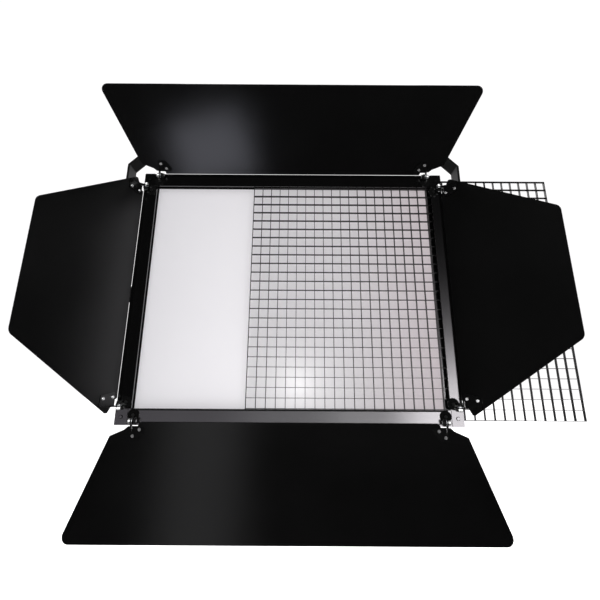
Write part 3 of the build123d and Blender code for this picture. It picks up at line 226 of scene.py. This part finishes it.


def opal_acrylic(name):
    """Satin opal sheet: milky, a soft sheen, a painted glow, and painted shade that makes its right
    side warmer and darker.
    """
    s = Shader(name)
    cloud = s.noise(3.5, 2.0)
    grain = s.noise(1500.0, 2.0)
    split = s.node("ShaderNodeSeparateXYZ")
    s.link(s.place, split.inputs[0])
    across = s.ramp(split.outputs["X"], 0.0, 1.0, -HALF_WIDTH, HALF_WIDTH)
    # painted shade: the base colour turns warmer and darker towards the sheet's right edge
    side = s.ramp(split.outputs["X"], 0.0, 1.0, SHADE_FROM, HALF_WIDTH)
    body = s.mix(cloud, (0.78, 0.765, 0.795, 1), (0.82, 0.81, 0.83, 1))
    s.set(Base_Color=s.mix(side, body, (0.72, 0.63, 0.66, 1)))
    s.set(Roughness=s.ramp(cloud, 0.30, 0.36), Coat_Weight=0.1, Coat_Roughness=0.2)
    # painted light: the sheet glows faintly though the lamp is off, a little pinker towards the right
    s.set(Emission_Color=s.mix(across, (0.93, 0.92, 0.96, 1), (1.0, 0.93, 0.96, 1)))
    s.set(Emission_Strength=PAINTED_GLOW)
    return s.bump(grain, 0.03, 0.0001).material


def circuit_board(name, colour):
    """Solder mask with a faint copper layout under it."""
    s = Shader(name)
    bricks = s.node("ShaderNodeTexBrick")
    bricks.inputs["Scale"].default_value = 90.0
    bricks.inputs["Mortar Size"].default_value = 0.03
    s.link(s.place, bricks.inputs["Vector"])
    dark = tuple(c * 0.7 for c in colour[:3]) + (1.0,)
    s.set(Base_Color=s.mix(bricks.outputs["Fac"], dark, colour), Roughness=0.35)
    return s.bump(bricks.outputs["Fac"], 0.2, 0.0002).material


def smoked_window(name):
    """Dark clear acrylic over the display."""
    s = Shader(name)
    smear = s.noise(60.0, 4.0)
    s.set(Base_Color=grey(0.012, (0.9, 1.0, 1.1)), Roughness=s.ramp(smear, 0.04, 0.12, 0.4, 0.7))
    s.set(Coat_Weight=0.5, Specular_IOR_Level=0.6)
    return s.material


FINISHES = {
    "black_anodised": anodised("black_anodised", 0.003, 0.2, (0.02, 1.0, 1.0)),
    "black_paint": powder_coat("black_paint", 0.004, 0.15, 1400.0),
    "side_paint": powder_coat("side_paint", 0.004, 0.33, 1400.0),
    "housing_black": powder_coat("housing_black", 0.014, 0.55, 900.0),
    "yoke_black": powder_coat("yoke_black", 0.012, 0.42, 1100.0),
    "louvre_black": matt_black("louvre_black"),
    "opal": opal_acrylic("opal"),
    "white_tray": moulded("white_tray", grey(0.8), 0.6),
    "board_white": circuit_board("board_white", grey(0.75)),
    "board_green": circuit_board("board_green", (0.02, 0.16, 0.06, 1)),
    "led_yellow": moulded("led_yellow", (0.85, 0.62, 0.12, 1), 0.3),
    "chrome": bright_metal("chrome", 0.85, 0.2, metallic=0.7),
    "zinc": bright_metal("zinc", 0.6, 0.3, (0.98, 1.0, 1.04), metallic=0.7),
    "steel": bright_metal("steel", 0.5, 0.25),
    "black_steel": powder_coat("black_steel", 0.008, 0.4, 2400.0),
    "fibre": moulded("fibre", (0.10, 0.075, 0.06, 1), 0.8, 500.0, 0.5),
    "knob_black": moulded("knob_black", grey(0.016), 0.5),
    "button_grey": moulded("button_grey", grey(0.09), 0.7),
    "socket_black": moulded("socket_black", grey(0.012), 0.25),
    "window": smoked_window("window"),
    "rocker_red": moulded("rocker_red", (0.35, 0.015, 0.012, 1), 0.3),
    "psu_metal": bright_metal("psu_metal", 0.55, 0.35),
    # painted shade: the near-black finish of the strip along the window's lower edge
    "painted_shade": moulded("painted_shade", grey(0.006), 0.9, 700.0, 0.4),
    "ink": moulded("ink", grey(0.62), 0.6, 3000.0, 0.05),
    "display_lit": glowing("display_lit", (0.35, 0.75, 1.0, 1), 1.4),
    "display_unlit": glowing("display_unlit", (0.35, 0.75, 1.0, 1), 0.03),
}
SLOT_OF = {row["node"]: row["material_slot"] for row in frame["record"]["subparts"]}
OWN_FINISH = {  # nodes that don't follow their slot's finish
    "leaf_left": "side_paint",  # duller than the long leaves
    "leaf_right": "side_paint",
    "pan_head_screws": "black_anodised",  # not to be told from the corner caps
}


def finish_of(name):
    return OWN_FINISH.get(name, SLOT_OF[name])


def finish_node(name):
    """Gives a CAD node its finish."""
    node = nodes[name]
    node.data.materials.clear()
    node.data.materials.append(FINISHES[finish_of(name)])


for node_name in nodes:
    finish_node(node_name)


# ---------------------------------------------------------------- edge rounds
EDGE_ROUND, LOW_RAIL_ROUND = 0.0004, 0.0012
ROUNDED = (
    "rail_top", "rail_bottom", "rail_left", "rail_right_front", "rail_right_rear", "corner_caps",
    "yoke_bar", "leaf_top", "leaf_bottom", "leaf_left", "leaf_right", "rear_cover",
    "control_housing", "control_panel", "housing_shell", "tilt_hub_left", "tilt_hub_right",
)


def round_edges(name, width):
    bevel = nodes[name].modifiers.new("edge_round", "BEVEL")
    bevel.width = width
    bevel.segments = 2
    bevel.limit_method = "ANGLE"
    bevel.angle_limit = radians(40)
    bevel.harden_normals = True


for node_name in ROUNDED:
    round_edges(node_name, LOW_RAIL_ROUND if node_name == "rail_bottom" else EDGE_ROUND)


# ---------------------------------------------------------------- screw heads
RINGS = (0.0, 0.08, 0.16, 0.24, 0.32, 0.42, 0.5, 0.56, 0.62, 0.72, 0.84, 0.94, 1.0)
AROUND = 48
WALL = 0.45  # share of a head's height that stands straight
DEPTH_AXIS = 1  # the screws stand along Y
RECESS_ARM, RECESS_HALF, RECESS_DEEP = 0.56, 0.15, 0.42  # of the head's radius, and its height


def islands(mesh):
    """The separate lumps of a mesh, each as a list of points."""
    group = list(range(len(mesh.vertices)))

    def root(i):
        while group[i] != i:
            group[i] = group[group[i]]
            i = group[i]
        return i

    for edge in mesh.edges:
        group[root(edge.vertices[0])] = root(edge.vertices[1])
    lumps = {}
    for i, vertex in enumerate(mesh.vertices):
        lumps.setdefault(root(i), []).append(vertex.co.copy())
    return list(lumps.values())


def heads_of(name, axis):
    """Where the heads of a node of screws sit: seat, outward direction, radius and height."""
    found = []
    for points in islands(nodes[name].data):
        low = Vector([min(p[k] for p in points) for k in range(3)])
        high = Vector([max(p[k] for p in points) for k in range(3)])
        middle = (low + high) / 2
        radius = max(high[k] - low[k] for k in range(3) if k != axis) / 2
        wide = [p[axis] for p in points if radial(p - middle, axis) > 0.9 * radius]
        seat, top = min(wide), max(wide)
        if abs(seat - low[axis]) < abs(top - high[axis]):
            seat, top = top, seat
        middle[axis] = seat
        outward = Vector((0, 0, 0))
        outward[axis] = 1 if top > seat else -1
        found.append((middle, outward, radius, abs(top - seat)))
    return found


def radial(offset, axis):
    return Vector([offset[k] for k in range(3) if k != axis]).length


def recess(x, y):
    """1 in the cross of a screw head and 0 outside it, in shares of the radius."""
    along, across = max(abs(x), abs(y)), min(abs(x), abs(y))
    return 1.0 if along < RECESS_ARM and across < RECESS_HALF else 0.0


def add_head(mesh, seat, outward, radius, height):
    """A domed cross-recess head."""
    turn = outward.to_track_quat("Z", "Y").to_matrix()
    rows = []
    for ring in reversed(RINGS[1:]):
        row = []
        for i in range(AROUND):
            angle = 2 * pi * i / AROUND
            x, y = ring * cos(angle), ring * sin(angle)
            dome = WALL + (1 - WALL) * (1 - ring ** 2) - RECESS_DEEP * recess(x, y)
            row.append(mesh.verts.new(seat + turn @ Vector((x * radius, y * radius, dome * height))))
        rows.append(row)
    base = [mesh.verts.new(v.co - outward * (WALL * height)) for v in rows[0]]
    rows.insert(0, base)
    peak = mesh.verts.new(seat + outward * height * (1 - RECESS_DEEP))
    for outer, inner in zip(rows, rows[1:]):
        for i in range(AROUND):
            j = (i + 1) % AROUND
            mesh.faces.new((outer[i], outer[j], inner[j], inner[i]))
    for i in range(AROUND):
        mesh.faces.new((rows[-1][i], rows[-1][(i + 1) % AROUND], peak))


def new_piece(name, mesh, finish, body):
    """Turns a bmesh into a named piece that rides on a body."""
    data = bpy.data.meshes.new(name)
    mesh.to_mesh(data)
    mesh.free()
    data.materials.append(FINISHES[finish])
    piece = bpy.data.objects.new(name, data)
    bpy.context.scene.collection.objects.link(piece)
    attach(piece, body)
    return piece


FLUSH = 0.2  # of a head's height, for the heads in front


def make_screw_heads(name, body, front=1.0):
    """Stands in for a node of plain screws with domed, cross-recessed heads.

    front scales the height of the heads that face forward.
    """
    mesh = bmesh.new()
    for seat, outward, radius, height in heads_of(name, DEPTH_AXIS):
        add_head(mesh, seat, outward, radius, height * (front if outward.y < 0 else 1.0))
    piece = new_piece(name + "_heads", mesh, finish_of(name), body)
    piece.data.polygons.foreach_set("use_smooth", [True] * len(piece.data.polygons))
    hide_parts(name)
    return piece


make_screw_heads("bracket_screws", "head")
cap_heads = make_screw_heads("pan_head_screws", "head", front=FLUSH)

# ---------------------------------------------------------------- printed marks at the rear
INK = 0.00004  # thickness of print
TICKS, TICK_SWEEP, TICK_WIDTH = 11, 270.0, 0.0005
TICK_GAP, TICK_LENGTH = 0.0028, 0.0022  # clear of the knob's grip, and outward
POINTER_SHARE, POINTER_HALF = 0.6, 0.22  # of the knob's radius: its middle, and half its length
POINTER_WIDTH, POINTER_GROOVE = 0.0009, 0.0006
SYMBOL = 0.0019  # half size of a button's symbol
BARS, BAR_ROWS, LIT_BARS = 12, 2, (8, 5)
BAR_MARGIN, BAR_FILL = 0.004, 0.62


def add_prism(mesh, outline, back, front):
    """A thin flat shape: its outline in x and z, between two depths."""
    near = [mesh.verts.new((x, front, z)) for x, z in outline]
    far = [mesh.verts.new((x, back, z)) for x, z in outline]
    mesh.faces.new(near)
    mesh.faces.new(list(reversed(far)))
    for i in range(len(outline)):
        j = (i + 1) % len(outline)
        mesh.faces.new((near[i], near[j], far[j], far[i]))


def bar(x, z, half_x, half_z):
    left, right, low, high = x - half_x, x + half_x, z - half_z, z + half_z
    return [(left, low), (right, low), (right, high), (left, high)]


def face_of(name):
    """Middle of a rear-facing node in x and z, the depth of its rear face, and its half width."""
    low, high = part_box(name)
    return (low.x + high.x) / 2, (low.z + high.z) / 2, high.y, (high.x - low.x) / 2


def make_tick_ring(name, knob):
    """A dial of ticks on the panel round a knob."""
    x, z, _, radius = face_of(knob)
    panel_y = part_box("control_panel")[1].y
    mesh = bmesh.new()
    for i in range(TICKS):
        angle = radians(90 - TICK_SWEEP / 2 + TICK_SWEEP * i / (TICKS - 1))
        out, side = Vector((cos(angle), sin(angle))), Vector((-sin(angle), cos(angle)))
        start, end = radius + TICK_GAP, radius + TICK_GAP + TICK_LENGTH
        corners = ((start, -1), (end, -1), (end, 1), (start, 1))
        points = [out * r + side * (k * TICK_WIDTH / 2) for r, k in corners]
        add_prism(mesh, [(x + q.x, z + q.y) for q in points], panel_y, panel_y + INK)
    new_piece(name, mesh, "ink", "head")


def make_pointer(name, knob, body):
    """The white line in a knob's pointer groove."""
    x, z, face_y, radius = face_of(knob)
    mesh = bmesh.new()
    floor_y = face_y - POINTER_GROOVE
    outline = bar(x, z + POINTER_SHARE * radius, POINTER_WIDTH / 2, POINTER_HALF * radius)
    add_prism(mesh, outline, floor_y, floor_y + POINTER_GROOVE / 2)
    new_piece(name, mesh, "ink", body)


def make_symbol(name, button, body, outlines):
    """A printed symbol on a button's face; its outlines are in shares of the symbol's half size."""
    x, z, face_y, _ = face_of(button)
    mesh = bmesh.new()
    for outline in outlines:
        add_prism(mesh, [(x + SYMBOL * a, z + SYMBOL * b) for a, b in outline], face_y, face_y + INK)
    new_piece(name, mesh, "ink", body)


def make_display_bars():
    """Two rows of level bars on the display."""
    low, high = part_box("display_window")
    pitch_x = (high.x - low.x - 2 * BAR_MARGIN) / BARS
    pitch_z = (high.z - low.z - 2 * BAR_MARGIN) / BAR_ROWS
    lit, unlit = bmesh.new(), bmesh.new()
    for row in range(BAR_ROWS):
        for i in range(BARS):
            x = high.x - BAR_MARGIN - pitch_x * (i + 0.5)
            z = high.z - BAR_MARGIN - pitch_z * (row + 0.5)
            outline = bar(x, z, BAR_FILL * pitch_x / 2, BAR_FILL * pitch_z / 2)
            add_prism(lit if i < LIT_BARS[row] else unlit, outline, high.y, high.y + INK)
    new_piece("display_lit_bars", lit, "display_lit", "head")
    new_piece("display_unlit_bars", unlit, "display_unlit", "head")


make_tick_ring("dimmer_ticks", "dimmer_knob")
make_tick_ring("colour_ticks", "colour_knob")
make_pointer("dimmer_pointer", "dimmer_knob", "dimmer")
make_pointer("colour_pointer", "colour_knob", "colour")
ARROW = [(-1, -0.7), (1, -0.7), (0, 1)]
DOT_R, DOT_SIDES = 0.7, 24
DOT_ANGLES = [2 * pi * i / DOT_SIDES for i in range(DOT_SIDES)]
DOT = [(DOT_R * cos(angle), DOT_R * sin(angle)) for angle in DOT_ANGLES]
STRIPE_HALF = 0.17
STRIPES = [bar(0, z, 1, STRIPE_HALF) for z in (-0.7, 0, 0.7)]
make_symbol("up_symbol", "button_up", "up_button", [ARROW])
make_symbol("down_symbol", "button_down", "down_button", [[(a, -b) for a, b in reversed(ARROW)]])
make_symbol("enter_symbol", "button_enter", "enter_button", [DOT])
make_symbol("menu_symbol", "button_menu", "menu_button", STRIPES)
make_display_bars()

# ---------------------------------------------------------------- painted shade strip
SHADE_STRIP_WIDTH, SHADE_STRIP_THICK = 0.0022, 0.0002


def make_shade_strip():
    """Painted shade: a thin dark strip along the window's lower edge, standing in for the shade
    there.
    """
    rail_low, rail_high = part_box("rail_bottom")
    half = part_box("rail_right_rear")[0].x
    mesh = bmesh.new()
    outline = bar(0, rail_high.z - SHADE_STRIP_WIDTH / 2, half, SHADE_STRIP_WIDTH / 2)
    add_prism(mesh, outline, rail_low.y - SHADE_STRIP_THICK, rail_low.y)
    new_piece("window_shade_strip", mesh, "painted_shade", "head")


make_shade_strip()

# ---------------------------------------------------------------- stage
FLOOR_DROP = 0.55  # floor below the lamp's lowest point
FLOOR_SIZE = 30.0
floor_z = cad_low.z - FLOOR_DROP


def make_floor():
    """A wide pale floor; the camera sees it as the same white as the surroundings."""
    mesh = bpy.data.meshes.new("floor")
    corners = [
        (x * FLOOR_SIZE, y * FLOOR_SIZE, floor_z) for x, y in ((-1, -1), (1, -1), (1, 1), (-1, 1))
    ]
    mesh.from_pydata(corners, [], [(0, 1, 2, 3)])
    floor = bpy.data.objects.new("floor", mesh)
    bpy.context.scene.collection.objects.link(floor)
    s = Shader("floor")
    rays = s.node("ShaderNodeLightPath")
    pale = s.mix(s.noise(2.0, 4.0), grey(0.80), grey(0.84))
    s.set(Base_Color=s.mix(rays.outputs["Is Glossy Ray"], pale, grey(0.03)), Roughness=0.8)
    s.set(Emission_Color=grey(1.0), Emission_Strength=rays.outputs["Is Camera Ray"])
    s.set(Specular_IOR_Level=0.0)
    mesh.materials.append(s.material)


WORLD_SEEN, WORLD_DIFFUSE = 1.05, 0.6
GLOSS_FRONT, GLOSS_BACK = 0.05, 0.5  # what polished things see ahead of the lamp, and behind it


def make_world():
    """White to the camera, soft grey to matt surfaces, and darker ahead of the lamp to gloss."""
    world = bpy.data.worlds.new("studio")
    bpy.context.scene.world = world
    world.use_nodes = True
    tree = world.node_tree
    light = tree.nodes["Background"]
    rays = tree.nodes.new("ShaderNodeLightPath")
    place = tree.nodes.new("ShaderNodeTexCoord")
    split = tree.nodes.new("ShaderNodeSeparateXYZ")
    tree.links.new(place.outputs["Generated"], split.inputs[0])
    gloss = tree.nodes.new("ShaderNodeMapRange")
    gloss.inputs["From Min"].default_value = 0.0
    gloss.inputs["From Max"].default_value = 0.5
    gloss.inputs["To Min"].default_value = GLOSS_FRONT
    gloss.inputs["To Max"].default_value = GLOSS_BACK
    tree.links.new(split.outputs["Y"], gloss.inputs["Value"])
    level = gloss.outputs["Result"]
    for ray, value in (("Is Diffuse Ray", WORLD_DIFFUSE), ("Is Camera Ray", WORLD_SEEN)):
        mix = tree.nodes.new("ShaderNodeMix")
        mix.inputs["B"].default_value = value
        tree.links.new(rays.outputs[ray], mix.inputs["Factor"])
        tree.links.new(level, mix.inputs["A"])
        level = mix.outputs["Result"]
    tree.links.new(level, light.inputs["Strength"])
    light.inputs["Color"].default_value = (1, 0.99, 1, 1)


def area_light(name, place, aim, width, height, radiance, colour=(1, 1, 1)):
    """A soft rectangular light that points at a place, as bright as given in every direction."""
    data = bpy.data.lights.new(name, "AREA")
    data.shape = "RECTANGLE"
    data.size = width
    data.size_y = height
    data.energy = radiance * pi * width * height
    data.color = colour
    light = bpy.data.objects.new(name, data)
    light.location = place
    light.rotation_euler = (Vector(aim) - Vector(place)).to_track_quat("-Z", "Y").to_euler()
    light.visible_camera = False
    bpy.context.scene.collection.objects.link(light)
    return light


def shine(light, objects):
    """Makes a light show only as a reflection, in these objects alone."""
    light.visible_diffuse = False
    light.light_linking.receiver_collection = linked(light.name, objects, "INCLUDE")


def spare(light, objects):
    """Keeps a light off these objects."""
    light.light_linking.receiver_collection = linked(light.name, objects, "EXCLUDE")


def linked(name, objects, state):
    group = bpy.data.collections.new(name)
    for i, item in enumerate(objects):
        group.objects.link(item)
        group.collection_objects[i].light_linking.link_state = state
    return group


make_floor()
make_world()

# ---------------------------------------------------------------- camera
louvre_low, louvre_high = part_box("louvre_blades_vertical")
louvre_y = (louvre_low.y + louvre_high.y) / 2
head_z = (louvre_low.z + louvre_high.z) / 2
CAMERA_BACK = 0.7483  # in front of the louvre
CAMERA_RIGHT, CAMERA_BELOW = 0.0172, 0.1471  # from the head's centre
CAMERA_PITCH, CAMERA_ROLL = 18.97, 0.35
CAMERA_LENS = 27.756
SHIFT_X, SHIFT_Y = -0.0038, -0.1223  # the view is cropped to one side of the lens's axis


def make_camera():
    data = bpy.data.cameras.new("camera")
    data.lens = CAMERA_LENS
    camera = bpy.data.objects.new("camera", data)
    camera.location = (CAMERA_RIGHT, louvre_y - CAMERA_BACK, head_z - CAMERA_BELOW)
    tilt = Matrix.Rotation(radians(90 + CAMERA_PITCH), 3, "X")
    camera.rotation_euler = (tilt @ Matrix.Rotation(radians(CAMERA_ROLL), 3, "Z")).to_euler()
    bpy.context.scene.collection.objects.link(camera)
    bpy.context.scene.camera = camera
    shift_only_here(camera, "shift_x", SHIFT_X)
    shift_only_here(camera, "shift_y", SHIFT_Y)
    return camera


def shift_only_here(camera, channel, amount):
    """Keeps a lens shift for this viewpoint alone: elsewhere the camera looks straight."""
    curve = camera.data.driver_add(channel)
    depth = curve.driver.variables.new()
    depth.name = "depth"
    depth.type = "TRANSFORMS"
    depth.targets[0].id = camera
    depth.targets[0].transform_type = "LOC_Y"
    depth.targets[0].transform_space = "WORLD_SPACE"
    curve.driver.type = "SCRIPTED"
    curve.driver.expression = f"{amount} * (abs(depth - {camera.location.y:.6f}) < 0.0001)"


camera = make_camera()

# ---------------------------------------------------------------- lights
eye = camera.location.copy()
centre = Vector((0, 0, head_z))
LEAVES = [nodes[name] for name in ("leaf_top", "leaf_bottom", "leaf_left", "leaf_right")]
METAL_SLOTS = ("chrome", "zinc", "steel")
LOW_RIVETS = nodes["leaf_bottom_rivets"]  # out of the light
METALS = [
    node for name, node in nodes.items() if SLOT_OF[name] in METAL_SLOTS and node != LOW_RIVETS
]
RIGHT_LIT = [
    nodes[name]
    for name in (
        "rail_bottom", "rail_right_front", "rail_right_rear", "corner_caps",
        "louvre_blades_vertical", "louvre_blades_horizontal",
    )
] + [cap_heads]
BOTTOM_RAIL = [nodes["rail_bottom"]]
BOTTOM_CORNERS = BOTTOM_RAIL + [nodes["corner_caps"], cap_heads]

FLASH_AT, FLASH_SIZE, FLASH_RADIANCE = Vector((-0.01, 0.0, 0.0)), 0.02, 1150.0  # from the camera
PATCH_AT, PATCH_AIM = Vector((-0.36, -0.60, -1.15)), Vector((-0.2, -0.1, -0.07))
PATCH_SIZE, PATCH_RADIANCE, BLUISH = (0.3, 0.33), 1.9, (0.93, 0.94, 1.08)
CARD_Y = -2.0  # upright cards stand here, ahead of the lamp
LOW_CARDS = (-0.9, -0.46)  # the bottom and top of the cards that the bottom rail reflects
SIDE_LEFT, SIDE_RIGHT = 0.62, 1.3
SIDE_CARDS = (  # bottom, top and radiance of each: brighter towards the floor
    (-1.1, -0.42, 30.0), (-0.42, -0.25, 12.0), (-0.25, -0.08, 3.0), (-0.08, 0.12, 0.8),
)


def upright_card(name, left, right, low, high, radiance, colour=(1, 1, 1)):
    """A light panel that stands ahead of the lamp and faces it."""
    place = Vector(((left + right) / 2, CARD_Y, (low + high) / 2))
    aim = place + Vector((0, 1, 0))
    return area_light(name, place, aim, right - left, high - low, radiance, colour)


flash = area_light("flash", eye + FLASH_AT, centre, FLASH_SIZE, FLASH_SIZE, FLASH_RADIANCE)
spare(flash, LEAVES + [nodes["rail_bottom"], LOW_RIVETS])

patch = area_light("low_blue", PATCH_AT, PATCH_AIM, *PATCH_SIZE, PATCH_RADIANCE, BLUISH)
shine(patch, [nodes["leaf_top"]])

band = upright_card("front_band", -0.69, -0.30, -1.3, 0.1, 0.48, (1, 1, 1.02))
shine(band, [nodes["leaf_bottom"]])

glow = upright_card("front_low", -1.3, 0.6, *LOW_CARDS, 2.6, (1.0, 0.95, 1.05))
shine(glow, BOTTOM_CORNERS)
for left, radiance in ((-0.05, 30.0), (0.42, 50.0)):
    shine(upright_card("front_right", left, SIDE_LEFT, *LOW_CARDS, radiance), BOTTOM_RAIL)
for low, high, radiance in SIDE_CARDS:
    card = upright_card("right_low", SIDE_LEFT, SIDE_RIGHT, low, high, radiance, (1, 0.96, 1.0))
    shine(card, RIGHT_LIT)

sparkle = area_light("sparkle", (0.0, -2.5, 0.3), centre, 3.0, 3.0, 3.0)
shine(sparkle, METALS)
for name, x in (("sparkle_left", -1.5), ("sparkle_right", 1.5)):
    shine(area_light(name, (x, -0.9, head_z), centre, 1.2, 1.2, 4.0), METALS)

back_key = area_light("back_key", (-1.6, 2.0, 1.1), centre, 1.4, 1.4, 9.0)
back_fill = area_light("back_fill", (1.9, 1.6, 0.4), centre, 1.6, 1.6, 4.0)
for light in (back_key, back_fill):
    spare(light, [nodes["yoke_bar"]])
area_light("overhead", (0.0, 0.9, 2.0), centre, 1.5, 1.5, 3.0)

bpy.context.scene.view_settings.view_transform = "Standard"
